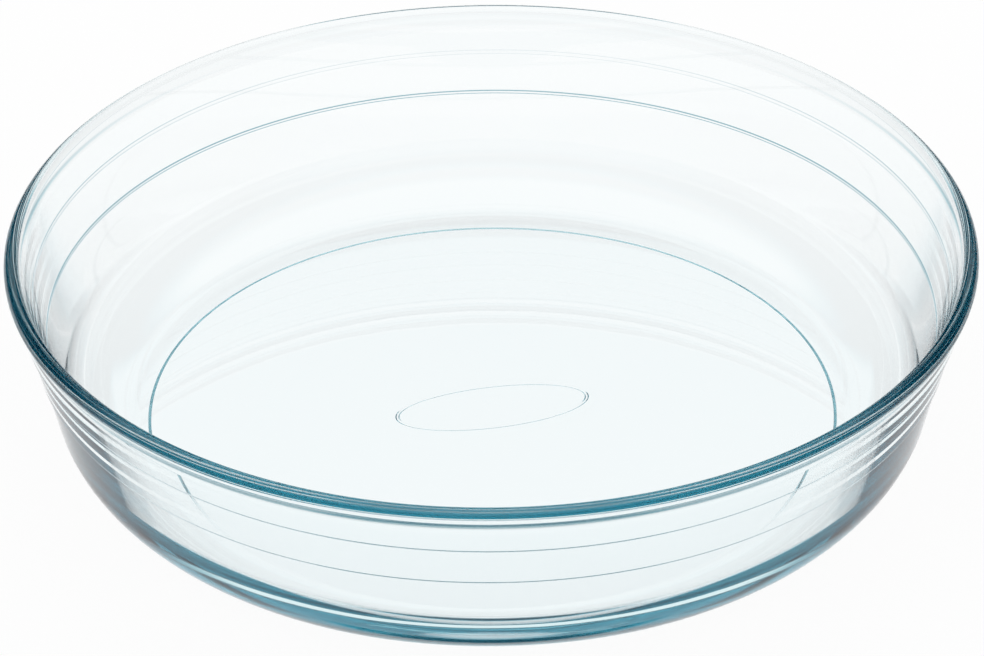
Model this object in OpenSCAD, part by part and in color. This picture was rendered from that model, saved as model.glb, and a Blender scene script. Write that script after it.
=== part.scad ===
// Round cake pan of clear pressed glass: one piece, standing on a low foot ring.
// Its section is turned about Z. It has a flat floor, a deep rounded corner, a leaning wall with
// two fine steps on the outside, and a rolled rim that swells outwards from the wall.
// Millimetres, +Z up. The origin is the centre of the circle that the pan stands on.

/* [Overall] */
// Diameter over the rolled rim
rim_d = 260; // [220:1:320]
// Height from the table to the top of the rim
height = 58.6; // [54:0.1:80]

/* [Wall] */
// Lean of the inside wall from upright, in degrees
inside_lean = 15; // [10:0.5:18]
// Lean of the outside bands from upright, in degrees
outside_lean = 12.5; // [10:0.5:15]
// Thickness of the wall where it meets the rim
wall_t = 3.3; // [3:0.1:3.9]
// Radius of the outside corner between the wall and the foot
corner_r = 21.5; // [17:0.5:26]
// Radius of the inside corner between the wall and the floor
inside_corner_r = 20.5; // [14:0.5:24]

/* [Rim] */
// Thickness of the rolled rim
bead_d = 4.5; // [4.2:0.1:5.4]
// Radius of the long hollow where the rim runs into the outside wall
bead_fillet_r = 11; // [4:0.5:13]

/* [Bands] */
// Depth of the top band, from the top of the rim down to the upper step
top_band_h = 13.8; // [12:0.1:16]
// Depth of the middle band, between the two steps
middle_band_h = 11.6; // [6:0.1:14]
// Distance by which each step brings the wall in
step_in = 0.55; // [0.2:0.05:0.8]

/* [Floor] */
// Thickness of the floor
floor_t = 5; // [4:0.1:6]
// Width of the flat ring that the pan stands on
foot_w = 3.9; // [2:0.1:6]
// Height by which the foot ring holds the floor's underside off the table
foot_h = 0.8; // [0.5:0.1:1.5]

/* [Oval] */
// Length of the plain oval line on the underside
oval_len = 54; // [30:1:70]
// Width across the oval
oval_w = 21; // [14:1:30]
// Width of the raised line that draws the oval
oval_line_w = 1.1; // [0.8:0.1:2]
// Height by which the line stands out of the underside
oval_line_h = 0.35; // [0.2:0.05:0.45]
// Turn of the oval about the pan's axis, in degrees
oval_turn = 12; // [-90:1:90]

/* [Hidden] */
GLASS = [0.72, 0.86, 0.88, 0.45];
OVAL_SIDES = 72;
OVERLAP = 1;
$fn = 128;

// Rolled rim: a full round at the top of the wall, with its centre at bead_x, bead_z
bead_r = bead_d / 2;
bead_x = rim_d / 2 - bead_r;
bead_z = height - bead_r;

// Inside wall: a cone that touches the round of the rim
inside_top_x = bead_x - bead_r * cos(inside_lean);
inside_top_z = bead_z + bead_r * sin(inside_lean);
function inside_x(z) = inside_top_x - (inside_top_z - z) * tan(inside_lean);

// Outside wall: bands counted down from the rim, each a step further in than the one above
upper_step_z = height - top_band_h;
lower_step_z = upper_step_z - middle_band_h;
outside_top_x = inside_top_x + wall_t / cos(inside_lean);
function outside_x(z, band) =
    outside_top_x - (inside_top_z - z) * tan(outside_lean) - band * step_in;

// Outside corner: a round that touches the lowest band and the table
corner_x = outside_x(corner_r, 2) - corner_r / cos(outside_lean);
corner_touch = [corner_x + corner_r * cos(outside_lean), corner_r - corner_r * sin(outside_lean)];

// Inside corner: a round that touches the inside wall and the floor
floor_z = foot_h + floor_t;
inside_corner_z = floor_z + inside_corner_r;
inside_corner_x = inside_x(inside_corner_z) - inside_corner_r / cos(inside_lean);
inside_touch = [
    inside_corner_x + inside_corner_r * cos(inside_lean),
    inside_corner_z - inside_corner_r * sin(inside_lean)
];

// Hollow under the rim: a round that touches the rim and the top band from outside.
// Its centre is found from the rim's, out across the band's face and then down along it.
fillet_out = (outside_x(bead_z, 0) - bead_x) * cos(outside_lean) + bead_fillet_r;
fillet_down = sqrt(pow(bead_r + bead_fillet_r, 2) - pow(fillet_out, 2));
fillet_centre = [
    bead_x + fillet_out * cos(outside_lean) - fillet_down * sin(outside_lean),
    bead_z - fillet_out * sin(outside_lean) - fillet_down * cos(outside_lean)
];
fillet_touch = fillet_centre - bead_fillet_r * [cos(outside_lean), -sin(outside_lean)];

// Underside of the floor, inside the foot ring
panel_r = corner_x - foot_w;

// Points of an oval, given its half length and half width
function oval(half_len, half_w) = [
    for (i = [0 : OVAL_SIDES - 1])
        let (turn = 360 * i / OVAL_SIDES)
        [half_len * cos(turn), half_w * sin(turn)]
];

// Whole outside of the wall, corner and foot, filled in to the axis
module outside_section() {
    square([corner_x, inside_corner_z]);
    translate([corner_x, corner_r])
        circle(r = corner_r);
    polygon([
        [corner_x, corner_r],
        corner_touch,
        [outside_x(lower_step_z - step_in, 2), lower_step_z - step_in],
        [outside_x(lower_step_z, 1), lower_step_z],
        [outside_x(upper_step_z - step_in, 1), upper_step_z - step_in],
        [outside_x(upper_step_z, 0), upper_step_z],
        fillet_touch,
        [bead_x, bead_z],
        [inside_top_x, inside_top_z],
        [inside_corner_x, inside_corner_z]
    ]);
}

// Bowl of the pan, open upwards
module inside_section() {
    translate([0, floor_z])
        square([inside_corner_x, height]);
    translate([inside_corner_x, inside_corner_z])
        circle(r = inside_corner_r);
    polygon([
        [0, inside_corner_z],
        [inside_corner_x, inside_corner_z],
        inside_touch,
        [inside_top_x, inside_top_z],
        [inside_top_x, height + OVERLAP],
        [0, height + OVERLAP]
    ]);
}

// Shallow recess that leaves the foot ring standing
module recess_section() {
    polygon([
        [0, -OVERLAP],
        [panel_r, -OVERLAP],
        [panel_r, 0],
        [panel_r - foot_h, foot_h],
        [0, foot_h]
    ]);
}

// Rolled rim, with the long hollow that runs it into the wall
module rim_section() {
    translate([bead_x, bead_z])
        circle(r = bead_r);
    difference() {
        polygon([[bead_x, bead_z], fillet_centre, fillet_touch]);
        translate(fillet_centre)
            circle(r = bead_fillet_r);
    }
}

module pan_section() {
    difference() {
        outside_section();
        inside_section();
        recess_section();
    }
    rim_section();
}

// Plain oval line, raised on the underside within the recess
module oval_line() {
    translate([0, 0, foot_h - oval_line_h])
        rotate(oval_turn)
            linear_extrude(oval_line_h + floor_t / 2)
                difference() {
                    polygon(oval(oval_len / 2, oval_w / 2));
                    polygon(oval(oval_len / 2 - oval_line_w, oval_w / 2 - oval_line_w));
                }
}

module cake_pan() {
    color(GLASS) {
        rotate_extrude()
            pan_section();
        oval_line();
    }
}

cake_pan();
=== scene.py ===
# %% [markdown]
# # A round cake pan of pressed glass
# A cake pan like this one is pressed in one stroke: a gob of hot glass drops into a mould, and a
# plunger squeezes it into a wall, a floor and a rolled rim. The whole form is one closed surface
# turned about an upright axis. This lesson loads the measured solid, draws its section again as a
# fine smooth surface, and then lets refraction and a faint tint in the glass do the rest.

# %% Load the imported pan
import math

import bpy
import numpy as np
from mathutils import Matrix, Vector


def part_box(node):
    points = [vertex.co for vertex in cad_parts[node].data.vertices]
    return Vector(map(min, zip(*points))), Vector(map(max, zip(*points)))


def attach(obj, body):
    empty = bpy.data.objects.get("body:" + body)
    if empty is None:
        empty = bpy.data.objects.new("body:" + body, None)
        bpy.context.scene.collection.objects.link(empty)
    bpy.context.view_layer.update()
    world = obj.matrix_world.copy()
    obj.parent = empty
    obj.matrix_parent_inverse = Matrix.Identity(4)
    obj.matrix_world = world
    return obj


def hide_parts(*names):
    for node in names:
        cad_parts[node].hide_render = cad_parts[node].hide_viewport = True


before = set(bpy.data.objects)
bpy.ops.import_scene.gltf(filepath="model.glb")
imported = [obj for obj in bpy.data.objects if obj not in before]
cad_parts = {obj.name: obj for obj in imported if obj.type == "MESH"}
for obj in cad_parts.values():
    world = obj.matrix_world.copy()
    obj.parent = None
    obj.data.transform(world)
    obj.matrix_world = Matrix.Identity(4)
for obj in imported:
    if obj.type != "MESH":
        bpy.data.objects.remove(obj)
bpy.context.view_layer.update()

PAN_LOW, PAN_HIGH = (Vector(corner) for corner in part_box("cake_pan"))
RIM_R = min(PAN_HIGH.x, PAN_HIGH.y, -PAN_LOW.x, -PAN_LOW.y)
HEIGHT = PAN_HIGH.z
print(f"pan: {2000 * RIM_R:.1f} mm across, {1000 * HEIGHT:.1f} mm high")

# %% [markdown]
# ## The camera
# The photograph was taken with a long lens from a little above, so the far and the near side of
# the rim are almost the same width. The camera is placed by three plain facts: how far it stands
# from the pan, how high it looks down from, and the point that it looks at. A small roll takes up
# the tilt of the photograph.

# %% Camera
FOCAL_PX = 4500.0
FRAME_W_PX = 984.0
SENSOR_W_MM = 36.0
CAM_DISTANCE = 1.2211
CAM_ELEVATION = math.radians(32.85)
CAM_ROLL = math.radians(-0.45)
CAM_BASE = Vector((0.0, 0.0, 0.025))
CAM_AIM = Vector((0.00005, 0.0, 0.029))


def aimed(place, target, roll):
    """World matrix of a camera at place that looks at target and is rolled about its own line
    of sight. A camera looks along its own -Z, so +Z points back from the target."""
    back = (place - target).normalized()
    right = Vector((0, 0, 1)).cross(back).normalized()
    up = back.cross(right)
    turn = Matrix((right, up, back)).transposed().to_4x4()
    return Matrix.Translation(place) @ turn @ Matrix.Rotation(roll, 4, "Z")


lens = bpy.data.cameras.new("camera")
lens.sensor_width = SENSOR_W_MM
lens.lens = FOCAL_PX * SENSOR_W_MM / FRAME_W_PX
camera = bpy.data.objects.new("camera", lens)
bpy.context.scene.collection.objects.link(camera)
bpy.context.scene.camera = camera
cam_offset = Vector((0, -math.cos(CAM_ELEVATION), math.sin(CAM_ELEVATION))) * CAM_DISTANCE
camera.matrix_world = aimed(CAM_BASE + cam_offset, CAM_AIM, CAM_ROLL)
print(f"camera: {lens.lens:.1f} mm lens, {CAM_DISTANCE:.3f} m away")

# %% [markdown]
# ## The section of the pan
# Half of the pan's section is a chain of straight runs joined by arcs. Walking along it with the
# glass on the left, only the heading changes: it rises through a convex bend and falls through a
# hollow one. The outward normal always lies a quarter turn to the right of the heading, so every
# point gets its exact normal for free. That matters for glass, where a wrong normal bends light
# the wrong way.

# %% Sizes of the section, in millimetres
MM = 0.001
rim_r = RIM_R / MM
height = HEIGHT / MM
INSIDE_LEAN = math.radians(15)
OUTSIDE_LEAN = math.radians(12.5)
WALL_T = 3.3
CORNER_R = 21.5
INSIDE_CORNER_R = 20.5
BEAD_R = 2.25
BEAD_FILLET_R = 11.0
TOP_BAND_H = 13.8
MIDDLE_BAND_H = 11.6
STEP_IN = 0.55
STEP_H = 0.55
CONVEX_R = 1.4
CONCAVE_R = 0.8
FLOOR_T = 5.0
FOOT_W = 3.9
FOOT_H = 0.8
OVAL_LEN = 54.0
OVAL_W = 21.0
OVAL_LINE_W = 1.1
OVAL_LINE_H = 0.35
OVAL_TURN = math.radians(12)
OVAL_SLOPE = math.radians(50)
OVAL_EDGE_R = OVAL_LINE_H / 3
EDGE_R = 0.35

# %% Walls and corners worked out from the sizes
bead = np.array([rim_r - BEAD_R, height - BEAD_R])
inside_top = bead + BEAD_R * np.array([-math.cos(INSIDE_LEAN), math.sin(INSIDE_LEAN)])
upper_step_z = height - TOP_BAND_H
lower_step_z = upper_step_z - MIDDLE_BAND_H
floor_z = FOOT_H + FLOOR_T


def inside_x(z):
    """Radius of the inside wall at a height: a cone that touches the rim's round."""
    return inside_top[0] - (inside_top[1] - z) * math.tan(INSIDE_LEAN)


def outside_x(z, band):
    """Radius of the outside wall at a height, on a band counted down from the rim."""
    top = inside_top[0] + WALL_T / math.cos(INSIDE_LEAN)
    return top - (inside_top[1] - z) * math.tan(OUTSIDE_LEAN) - band * STEP_IN


corner = np.array([outside_x(CORNER_R, 2) - CORNER_R / math.cos(OUTSIDE_LEAN), CORNER_R])
inside_corner_z = floor_z + INSIDE_CORNER_R
inside_corner = np.array(
    [inside_x(inside_corner_z) - INSIDE_CORNER_R / math.cos(INSIDE_LEAN), inside_corner_z]
)
fillet_out = (outside_x(bead[1], 0) - bead[0]) * math.cos(OUTSIDE_LEAN) + BEAD_FILLET_R
fillet_down = math.sqrt((BEAD_R + BEAD_FILLET_R) ** 2 - fillet_out**2)
out_dir = np.array([math.cos(OUTSIDE_LEAN), -math.sin(OUTSIDE_LEAN)])
down_dir = np.array([-math.sin(OUTSIDE_LEAN), -math.cos(OUTSIDE_LEAN)])
fillet = bead + fillet_out * out_dir + fillet_down * down_dir
panel_r = corner[0] - FOOT_W
print(f"section: foot ring {panel_r:.1f} to {corner[0]:.1f} mm, floor at {floor_z:.1f} mm")

# %% Arcs and bends
QUARTER = math.pi / 2
ARC_STEP = math.radians(3.0)
SMALL_R = 0.5
SMALL_ARC_STEP = math.radians(10.0)


def normal_at(heading):
    """Unit vector a quarter turn to the right of the heading."""
    return np.stack([np.cos(heading - QUARTER), np.sin(heading - QUARTER)], axis=-1)


def arc(centre, radius, start, end):
    """Points and normals of an arc: point = centre + radius * normal, as the heading runs from
    start to end. A negative radius makes a hollow arc, whose centre lies outside the glass. An
    arc under SMALL_R needs fewer points."""
    step = ARC_STEP if abs(radius) > SMALL_R else SMALL_ARC_STEP
    count = max(2, math.ceil(abs(end - start) / step) + 1)
    normals = normal_at(np.linspace(start, end, count))
    return centre + radius * normals, normals


def bend(vertex, radius, start, end):
    """Arc that rounds the corner at vertex between two headings. It touches both straight runs,
    at radius * tan(half the turn) from the vertex."""
    signed = math.copysign(radius, end - start)
    reach = radius * math.tan(abs(end - start) / 2)
    run = np.array([math.cos(start), math.sin(start)])
    centre = np.asarray(vertex) - reach * run - signed * normal_at(start)
    return arc(centre, signed, start, end)


# %% The turned part of the section
LEVEL = 0.0
FOOT_SLOPE = math.radians(-45)
BAND = QUARTER - OUTSIDE_LEAN
STEP = math.atan2(STEP_H, STEP_IN + STEP_H * math.tan(OUTSIDE_LEAN))
UNDER_RIM = math.atan2(*(fillet - bead)[::-1]) + QUARTER
INSIDE_WALL = 3 * QUARTER - INSIDE_LEAN
FLOOR = 2 * QUARTER


def step_bends(z, band):
    """The two small bends of a step whose upper edge lies at height z, below a band."""
    low_z = z - STEP_H
    return [
        bend([outside_x(low_z, band + 1), low_z], CONCAVE_R, BAND, STEP),
        bend([outside_x(z, band), z], CONVEX_R, STEP, BAND),
    ]


turned = [
    bend([panel_r - FOOT_H, FOOT_H], EDGE_R, LEVEL, FOOT_SLOPE),
    bend([panel_r, 0], EDGE_R, FOOT_SLOPE, LEVEL),
    arc(corner, CORNER_R, LEVEL, BAND),
    *step_bends(lower_step_z, 1),
    *step_bends(upper_step_z, 0),
    arc(fillet, -BEAD_FILLET_R, BAND, UNDER_RIM),
    arc(bead, BEAD_R, UNDER_RIM, INSIDE_WALL),
    arc(inside_corner, -INSIDE_CORNER_R, INSIDE_WALL, FLOOR),
]
print(f"section: {len(turned)} arcs")

# %% [markdown]
# ## Straight runs and the oval on the underside
# Each arc ends where the next straight run begins. Long runs get a few extra rings, so that the
# faces stay close to square. Inside the foot ring the section does something that a lathe can't:
# the rings turn from circles into ovals, so that the raised oval line on the underside is part of
# the same closed surface. Each ring is therefore an ellipse with two half axes, which are equal
# on the turned part.

# %% Join the runs into rings
RUN_STEP = 4.0
TOUCHING = 1e-6


def joined(pieces):
    """Puts pieces end to end and adds points along each straight run between them, at most
    RUN_STEP apart. Points and normals change linearly along a run. Where two pieces touch, the
    point that they share is kept once."""
    rows = [np.hstack(pieces[0])]
    for piece in pieces[1:]:
        piece = np.hstack(piece)
        last, first = rows[-1][-1], piece[0]
        gap = np.hypot(*(first - last)[:2])
        count = math.ceil(gap / RUN_STEP)
        share = np.linspace(0, 1, count + 1)[1:-1, None]
        rows += [last + (first - last) * share, piece if gap > TOUCHING else piece[1:]]
    return np.vstack(rows)


def ridge():
    """Section of the raised oval line, as the distance out from the line's outer edge and the
    height. It is a low round-shouldered bar that hangs from the underside."""
    low = FOOT_H - OVAL_LINE_H
    lean = OVAL_LINE_H / math.tan(OVAL_SLOPE)
    return joined([
        bend([-OVAL_LINE_W, FOOT_H], OVAL_EDGE_R, LEVEL, -OVAL_SLOPE),
        bend([-OVAL_LINE_W + lean, low], OVAL_EDGE_R, -OVAL_SLOPE, LEVEL),
        bend([-lean, low], OVAL_EDGE_R, LEVEL, OVAL_SLOPE),
        bend([0, FOOT_H], OVAL_EDGE_R, OVAL_SLOPE, LEVEL),
    ])


def ring_table(rows, half_len, half_w):
    """Rings as rows of half length, half width, height, outward and upward part of the normal."""
    return np.column_stack([half_len, half_w, rows[:, 1], rows[:, 2], rows[:, 3]])


PANEL_RINGS = 12
CENTRE_RINGS = 4
ridge_rows = ridge()
ridge_out = ridge_rows[:, 0]
ridge_rings = ring_table(ridge_rows, OVAL_LEN / 2 + ridge_out, OVAL_W / 2 + ridge_out)
shell_rows = joined(turned)
shell_rings = ring_table(shell_rows, shell_rows[:, 0], shell_rows[:, 0])


def between(first, last, count):
    """Rings whose half axes run evenly from one ring to another, without the two ends."""
    return first + (last - first) * np.linspace(0, 1, count + 2)[1:-1, None]


under_centre = np.array([0.0, 0.0, FOOT_H, 0.0, -1.0])
floor_centre = np.array([0.0, 0.0, floor_z, 0.0, 1.0])
rings = np.vstack([
    between(under_centre, ridge_rings[0], CENTRE_RINGS),
    ridge_rings,
    between(ridge_rings[-1], shell_rings[0], PANEL_RINGS),
    shell_rings,
    between(shell_rings[-1], floor_centre, PANEL_RINGS),
])
print(f"section: {len(rings)} rings")

# %% [markdown]
# ## One closed surface
# Every ring is turned through a full circle, which makes a grid of points. Neighbouring rings are
# joined by quads, and a fan of triangles closes the surface at the centre of the floor and at the
# centre of the underside. Glass has to be closed: light that enters must meet a wall to leave by.

# %% Turn the rings into a grid of points
SEGMENTS = 360


def surface_of(rings, segments):
    """Grid of points and normals. With the turn t, a ring's point is its half length times cos t
    along the oval and its half width times sin t across it, and the ring's outward direction is
    (half width * cos t, half length * sin t), made one unit long."""
    t = np.linspace(0, 2 * math.pi, segments, endpoint=False)
    half_len, half_w, z, out, up = (column[:, None] for column in rings.T)
    along, across = half_len * np.cos(t), half_w * np.sin(t)
    out_along, out_across = half_w * np.cos(t), half_len * np.sin(t)
    scale = out / np.hypot(out_along, out_across)
    points = np.stack([along, across, z + 0 * along], axis=-1)
    normals = np.stack([out_along * scale, out_across * scale, up + 0 * along], axis=-1)
    turn = np.array([
        [math.cos(OVAL_TURN), math.sin(OVAL_TURN), 0],
        [-math.sin(OVAL_TURN), math.cos(OVAL_TURN), 0],
        [0, 0, 1],
    ])
    return points @ turn, normals @ turn


# %% Faces, and one mesh from the arrays
def grid_faces(ring_count, segments):
    """Quads between neighbouring rings, and the fans of triangles that close the two poles. The
    poles are the last two vertices."""
    ring, seg = np.meshgrid(np.arange(ring_count - 1), np.arange(segments), indexing="ij")
    here, side = ring * segments + seg, ring * segments + (seg + 1) % segments
    quads = np.stack([here, side, side + segments, here + segments], axis=-1).reshape(-1, 4)
    seg = np.arange(segments)
    nxt, last = (seg + 1) % segments, (ring_count - 1) * segments
    south, north = ring_count * segments, ring_count * segments + 1
    under = np.stack([np.full(segments, south), nxt, seg], axis=-1)
    over = np.stack([np.full(segments, north), last + seg, last + nxt], axis=-1)
    return quads, np.vstack([under, over])


def closed_mesh(name, points, normals, quads, triangles):
    """Makes a mesh from arrays of points, normals, quads and triangles, all at once."""
    mesh = bpy.data.meshes.new(name)
    mesh.vertices.add(len(points))
    mesh.vertices.foreach_set("co", np.ascontiguousarray(points, dtype=np.float32).ravel())
    corners = np.concatenate([quads.ravel(), triangles.ravel()]).astype(np.int32)
    sizes = np.concatenate([np.full(len(quads), 4), np.full(len(triangles), 3)])
    starts = np.concatenate([[0], np.cumsum(sizes)[:-1]]).astype(np.int32)
    mesh.loops.add(len(corners))
    mesh.loops.foreach_set("vertex_index", corners)
    mesh.polygons.add(len(sizes))
    mesh.polygons.foreach_set("loop_start", starts)
    mesh.polygons.foreach_set("use_smooth", np.ones(len(sizes), dtype=bool))
    mesh.update(calc_edges=True)
    mesh.validate()
    mesh.normals_split_custom_set_from_vertices(normals)
    piece = bpy.data.objects.new(name, mesh)
    bpy.context.scene.collection.objects.link(piece)
    return piece


# %% The pan
grid, grid_normals = surface_of(rings, SEGMENTS)
points = np.vstack([grid.reshape(-1, 3), under_centre[:3], floor_centre[:3]]) * MM
point_normals = np.vstack([grid_normals.reshape(-1, 3), [0, 0, -1], [0, 0, 1]])
pan = closed_mesh("cake_pan_glass", points, point_normals, *grid_faces(len(rings), SEGMENTS))
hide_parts("cake_pan")
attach(pan, "root")
print(f"glass: {len(pan.data.polygons)} faces")

# %% [markdown]
# ## The glass
# Clear glass has hardly any colour of its own. A few millimetres look colourless, but light that
# runs a long way inside, along the rim or round the corner, loses its red first and comes out
# blue green. So the colour isn't painted on the surface: it is a weak absorption in the volume.
# Pressed glass also keeps a trace of the mould. Its skin is very slightly wavy and a touch less
# than mirror smooth, so two soft noises drive a small bump and a small roughness.

# %% Helpers for node trees
def add(tree, kind, x, y, **values):
    """Adds a node of a kind at a place in the editor and sets its inputs by name."""
    node = tree.nodes.new(kind)
    node.location = (x, y)
    for name, value in values.items():
        node.inputs[name.replace("_", " ")].default_value = value
    return node


def calc(tree, operation, first, second, x, y):
    """Adds a Math node that works on two inputs, each of which is a socket or a number."""
    node = add(tree, "ShaderNodeMath", x, y)
    node.operation = operation
    for socket, value in zip(node.inputs, (first, second)):
        if isinstance(value, (int, float)):
            socket.default_value = value
        else:
            tree.links.new(value, socket)
    return node.outputs[0]


def fade(tree, value, limits, levels, x, y):
    """Adds a Map Range node: the first level below the limits, the second above them, and between
    them the smooth step 3 s^2 - 2 s^3 of the share s of the way."""
    node = add(tree, "ShaderNodeMapRange", x, y, From_Min=limits[0], From_Max=limits[1],
               To_Min=levels[0], To_Max=levels[1])
    node.interpolation_type = "SMOOTHSTEP"
    tree.links.new(value, node.inputs["Value"])
    return node.outputs["Result"]


# %% Glass
GLASS_IOR = 1.474
TINT = (0.2, 0.70, 0.78, 1)
TINT_PER_M = 12.0
WAVE_SCALE = 35.0
WAVE_DEPTH = 0.00002
SKIN_SCALE = 120.0
SKIN_RANGE = (0.3, 0.7)
SKIN_ROUGHNESS = (0.0, 0.012)
WHITE = (1, 1, 1, 1)


def glass_material():
    """Clear glass: full transmission through a faintly wavy skin, with a tint that grows with the
    way through the glass."""
    material = bpy.data.materials.new("clear_pressed_glass")
    material.use_nodes = True
    tree = material.node_tree
    tree.nodes.clear()
    out = add(tree, "ShaderNodeOutputMaterial", 600, 0)
    shader = add(tree, "ShaderNodeBsdfPrincipled", 200, 0, Base_Color=WHITE,
                 Transmission_Weight=1.0, IOR=GLASS_IOR)
    place = add(tree, "ShaderNodeTexCoord", -900, 0)
    skin = add(tree, "ShaderNodeTexNoise", -600, 100, Scale=SKIN_SCALE, Detail=2.0)
    waves = add(tree, "ShaderNodeTexNoise", -600, -200, Scale=WAVE_SCALE, Detail=1.0)
    bump = add(tree, "ShaderNodeBump", -100, -200, Strength=1.0, Distance=WAVE_DEPTH)
    tint = add(tree, "ShaderNodeVolumeAbsorption", 200, -500, Color=TINT, Density=TINT_PER_M)
    tree.links.new(place.outputs["Object"], skin.inputs["Vector"])
    tree.links.new(place.outputs["Object"], waves.inputs["Vector"])
    rough = fade(tree, skin.outputs["Fac"], SKIN_RANGE, SKIN_ROUGHNESS, -300, 100)
    tree.links.new(rough, shader.inputs["Roughness"])
    tree.links.new(waves.outputs["Fac"], bump.inputs["Height"])
    tree.links.new(bump.outputs["Normal"], shader.inputs["Normal"])
    tree.links.new(shader.outputs["BSDF"], out.inputs["Surface"])
    tree.links.new(tint.outputs["Volume"], out.inputs["Volume"])
    return material


pan.data.materials.append(glass_material())
clear_share = [math.exp(-(1 - part) * TINT_PER_M * 2 * WALL_T * MM) for part in TINT[:3]]
print("tint: both walls let through", [round(share, 3) for share in clear_share])

# %% [markdown]
# ## Light for glass
# Glass shows only what stands round it. A photographer lights it from above and from below, and
# keeps the rest of the room dark: light that comes straight through the glass is white, and light
# that the rim and the corner turn aside comes from the dark, which draws their lines. The table
# and the sky do the same here. The camera and matt surfaces get a white table under a white sky.
# Rays that the glass has reflected or bent see the lights and the dark room between them.

# %% What a bent ray sees
ROOM_LEVEL = 0.045
TONE_POWERS = {"Red": 2.15, "Green": 1.22, "Blue": 1.0}
LIT = (0.0, 1.0)
UNLIT = (1.0, 0.0)


def bent_by_glass(tree, x, y):
    """1 for a ray that was reflected or that came through glass, and 0 for any other."""
    path = add(tree, "ShaderNodeLightPath", x, y)
    return calc(tree, "MAXIMUM", path.outputs["Is Glossy Ray"],
                path.outputs["Is Transmission Ray"], x + 200, y)


def tone(tree, bent, level, x, y):
    """White for any ray that the glass hasn't bent. For a bent ray, the colour of the studio at a
    level from 0 to 1: white at 1, and through blue green to nearly black below. Red, green and
    blue are the level raised to three powers. A Mix node has sockets for several kinds of data,
    of which 6, 7 and output 2 are the colours."""
    level = calc(tree, "MAXIMUM", level, ROOM_LEVEL, x, y)
    colour = add(tree, "ShaderNodeCombineColor", x + 400, y)
    for row, (name, power) in enumerate(TONE_POWERS.items()):
        raised = calc(tree, "POWER", level, power, x + 200, y - 200 * row)
        tree.links.new(raised, colour.inputs[name])
    mix = add(tree, "ShaderNodeMix", x + 600, y)
    mix.data_type = "RGBA"
    mix.inputs[6].default_value = WHITE
    tree.links.new(bent, mix.inputs[0])
    tree.links.new(colour.outputs["Color"], mix.inputs[7])
    return mix.outputs[2]


# %% [markdown]
# ## Table
# To the camera the table is white and keeps a faint shadow of the pan. A bent ray finds it clear
# close to the pan, like the glass top of a light table, and goes on to the panel below. Farther
# out the bent ray sees plain white.

# %% Table material
TABLE_COLOUR = (0.9, 0.9, 0.9, 1)
SHADOWLESS = 0.94
WINDOW_EDGE = (0.21, 0.24)


def layer(tree, share, under, over, x, y):
    """Adds a Mix Shader node: the first shader where the share is 0, and the second where it is
    1."""
    mix = add(tree, "ShaderNodeMixShader", x, y)
    tree.links.new(share, mix.inputs[0])
    tree.links.new(under.outputs[0], mix.inputs[1])
    tree.links.new(over.outputs[0], mix.inputs[2])
    return mix


def table_material():
    """Matt white, mixed with white light by SHADOWLESS for the camera and wholly for a bent ray,
    and clear to a bent ray within WINDOW_EDGE of the pan's axis."""
    material = bpy.data.materials.new("white_table")
    material.use_nodes = True
    tree = material.node_tree
    tree.nodes.clear()
    out = add(tree, "ShaderNodeOutputMaterial", 900, 0)
    bent = bent_by_glass(tree, -700, 300)
    path = add(tree, "ShaderNodeLightPath", -700, 0)
    seen = calc(tree, "MULTIPLY", path.outputs["Is Camera Ray"], SHADOWLESS, -300, 0)
    glow = calc(tree, "MAXIMUM", bent, seen, -100, 200)

    place = add(tree, "ShaderNodeTexCoord", -900, -300)
    reach = add(tree, "ShaderNodeVectorMath", -700, -300)
    reach.operation = "LENGTH"
    tree.links.new(place.outputs["Object"], reach.inputs[0])
    close = fade(tree, reach.outputs["Value"], WINDOW_EDGE, UNLIT, -300, -300)
    window = calc(tree, "MULTIPLY", close, bent, 100, -200)

    matt = add(tree, "ShaderNodeBsdfDiffuse", 100, 400, Color=TABLE_COLOUR)
    light = add(tree, "ShaderNodeEmission", 100, 200, Color=WHITE, Strength=1.0)
    clear = add(tree, "ShaderNodeBsdfTransparent", 300, -200)
    table_top = layer(tree, glow, matt, light, 400, 200)
    surface = layer(tree, window, table_top, clear, 600, 0)
    tree.links.new(surface.outputs[0], out.inputs["Surface"])
    return material


# %% Table
TABLE_DROP = 0.0002
TABLE_HALF = 4.0
table_mesh = bpy.data.meshes.new("table")
corner_signs = ((-1, -1), (1, -1), (1, 1), (-1, 1))
table_corners = [(x * TABLE_HALF, y * TABLE_HALF, -TABLE_DROP) for x, y in corner_signs]
table_mesh.from_pydata(table_corners, [], [(0, 1, 2, 3)])
table = bpy.data.objects.new("table", table_mesh)
bpy.context.scene.collection.objects.link(table)
table_mesh.materials.append(table_material())
print(f"table: {2 * TABLE_HALF:.0f} m across")

# %% [markdown]
# ## Sky
# The lights are patches of the sky with soft edges, so that no line in the glass ends abruptly.
# Each is worked out from the direction alone: Y points away from the camera, and Z is the sine of
# the angle above the table. Where patches overlap, the brighter one counts.

# %% Helpers for the sky
def sines(*angles):
    """Sine of each angle in degrees."""
    return tuple(math.sin(math.radians(angle)) for angle in angles)


def both(tree, first, second, row):
    """Product of two shares, on a row of the editor."""
    return calc(tree, "MULTIPLY", first, second, 0, row)


def brightest(tree, levels):
    """Greatest of several levels."""
    level = levels[0]
    for column, other in enumerate(levels[1:]):
        level = calc(tree, "MAXIMUM", level, other, 200 + 150 * column, 0)
    return level


# %% Light overhead, and a strip behind that the floor mirrors
OVERHEAD_EDGE = sines(36, 52)
STRIP_LOW = sines(26, 29)
STRIP_HIGH = sines(37, 40)
STRIP_SIDE = (0.72, 0.80)
STRIP_LEVEL = 0.8


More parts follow.
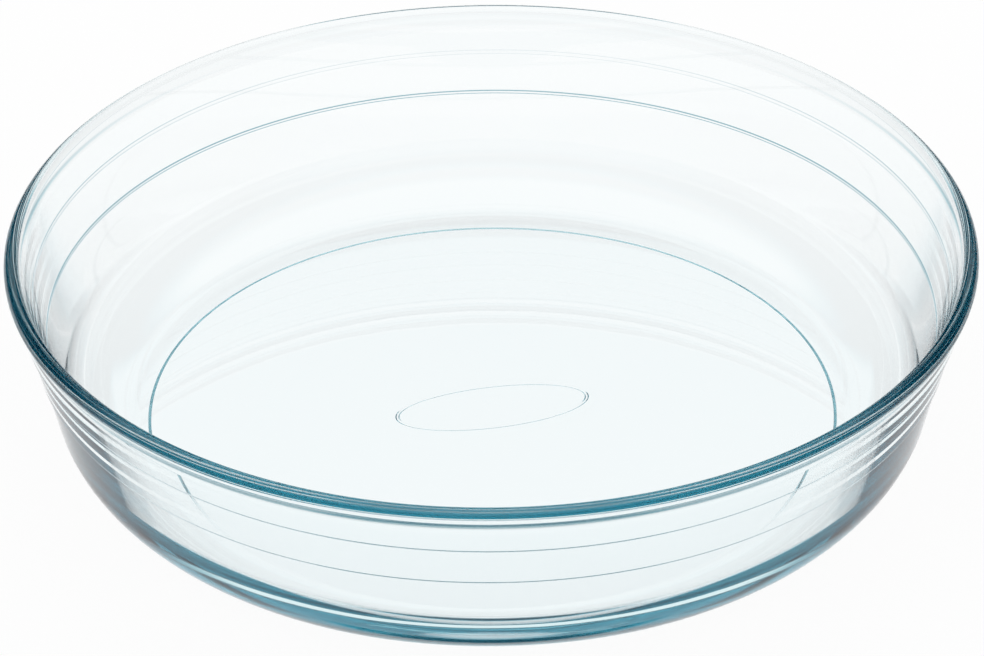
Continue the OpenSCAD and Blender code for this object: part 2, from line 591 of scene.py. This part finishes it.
def lights_above(tree, far, up):
    """Everything above OVERHEAD_EDGE, and a strip between STRIP_LOW and STRIP_HIGH that reaches
    as far to the sides as STRIP_SIDE."""
    overhead = fade(tree, up, OVERHEAD_EDGE, LIT, -400, 300)
    strip = both(tree, fade(tree, up, STRIP_LOW, (0.0, STRIP_LEVEL), -400, 900),
                 fade(tree, up, STRIP_HIGH, UNLIT, -200, 900), 900)
    return [overhead, both(tree, strip, fade(tree, far, STRIP_SIDE, LIT, -400, 600), 600)]


# %% Low lamp behind the camera
LAMP_SIDE = (0.25, 0.85)
LAMP_HIGH = sines(18, 30)
LAMP_LEVEL = 0.6


def lamp_in_front(tree, far, up):
    """Soft lamp on the camera's side, below LAMP_HIGH."""
    near = calc(tree, "MULTIPLY", far, -1.0, -600, -300)
    side = fade(tree, near, LAMP_SIDE, (0.0, LAMP_LEVEL), -400, -300)
    return both(tree, side, fade(tree, up, LAMP_HIGH, UNLIT, -200, -300), -300)


# %% Panel under the table
PANEL_EDGE = sines(-26.5, -19.5)
BELOW_SIDE = (0.60, 0.85)
STRAIGHT_LEVEL = 0.5
HORIZON = sines(-1, 0)
BAR_HIGH = sines(-76, -69)
BAR_SIDE = (0.10, 0.14)


def panel_below(tree, far, up):
    """White for steep rays, and for flat ones that don't head away from the camera. A flat ray
    that heads away meets the dark edge beyond the panel, which is only half dark to a ray that
    the glass has bent without reflecting it."""
    path = add(tree, "ShaderNodeLightPath", -1000, -1100)
    straight = calc(tree, "LESS_THAN", path.outputs["Glossy Depth"], 1.0, -800, -1100)
    straight = calc(tree, "MULTIPLY", straight, STRAIGHT_LEVEL, -600, -1100)
    sides = fade(tree, far, BELOW_SIDE, UNLIT, -400, -900)
    flat = both(tree, calc(tree, "MAXIMUM", sides, straight, -300, -1000),
                fade(tree, up, HORIZON, UNLIT, -200, -900), -900)
    return [fade(tree, up, PANEL_EDGE, UNLIT, -400, -600), flat]


def dark_bar(tree, far, up):
    """Bar across the panel, just behind the point straight below. It draws the thin dark lines
    under the rim and round the foot."""
    return both(tree, fade(tree, up, BAR_HIGH, UNLIT, -400, -1300),
                fade(tree, far, BAR_SIDE, LIT, -200, -1300), -1300)


# %% Sky
def sky_light():
    """White sky for the camera and for matt surfaces, and the lights for rays from the glass."""
    world = bpy.data.worlds.new("studio")
    world.use_nodes = True
    tree = world.node_tree
    tree.nodes.clear()
    out = add(tree, "ShaderNodeOutputWorld", 1900, 0)
    light = add(tree, "ShaderNodeBackground", 1700, 0, Strength=1.0)
    place = add(tree, "ShaderNodeTexCoord", -1000, 0)
    split = add(tree, "ShaderNodeSeparateXYZ", -800, 0)
    tree.links.new(place.outputs["Generated"], split.inputs[0])
    far, up = split.outputs["Y"], split.outputs["Z"]
    level = brightest(tree, [*lights_above(tree, far, up), lamp_in_front(tree, far, up),
                             *panel_below(tree, far, up)])
    level = calc(tree, "SUBTRACT", level, dark_bar(tree, far, up), 850, 0)
    colour = tone(tree, bent_by_glass(tree, 850, 400), level, 1050, 0)
    tree.links.new(colour, light.inputs["Color"])
    tree.links.new(light.outputs[0], out.inputs["Surface"])
    return world


scene = bpy.context.scene
scene.world = sky_light()
scene.view_settings.view_transform = "Standard"
print(f"sky: {len(scene.world.node_tree.nodes)} nodes")

# %% [markdown]
# ## How far a ray may go
# Light that runs round inside the rim is reflected many times before it gets out. If the render
# gives up early, those places turn black, so more bounces are allowed than in a plain scene.

# %% Bounces
MAX_BOUNCES = 48
scene.cycles.max_bounces = MAX_BOUNCES
scene.cycles.glossy_bounces = MAX_BOUNCES
scene.cycles.transmission_bounces = MAX_BOUNCES
print(f"light: up to {MAX_BOUNCES} bounces")
